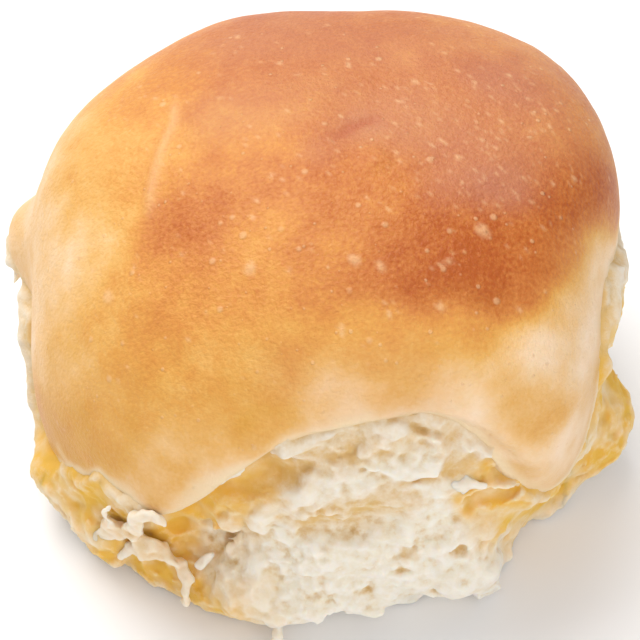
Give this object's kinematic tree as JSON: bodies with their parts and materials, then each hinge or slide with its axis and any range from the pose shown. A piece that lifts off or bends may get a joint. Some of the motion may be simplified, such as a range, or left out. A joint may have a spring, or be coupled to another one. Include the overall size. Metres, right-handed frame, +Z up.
{
  "type": "bread roll",
  "caption": "Soft pull-apart bread roll: a domed brown crust that ends in a wavy hem over torn white crumb, flat underneath.",
  "frame": {"origin": "middle of the flat underside, under the middle of the roll's box", "axes": "+Z up out of the crown; +X to the roll's right; -Y towards the side with the largest tear"},
  "size_m": [0.078, 0.0746, 0.0501],
  "materials": {
    "crust": "satin",
    "crumb": "matt"
  },
  "bodies": {
    "root": {"roll": "crust"}
  },
  "joints": []
}
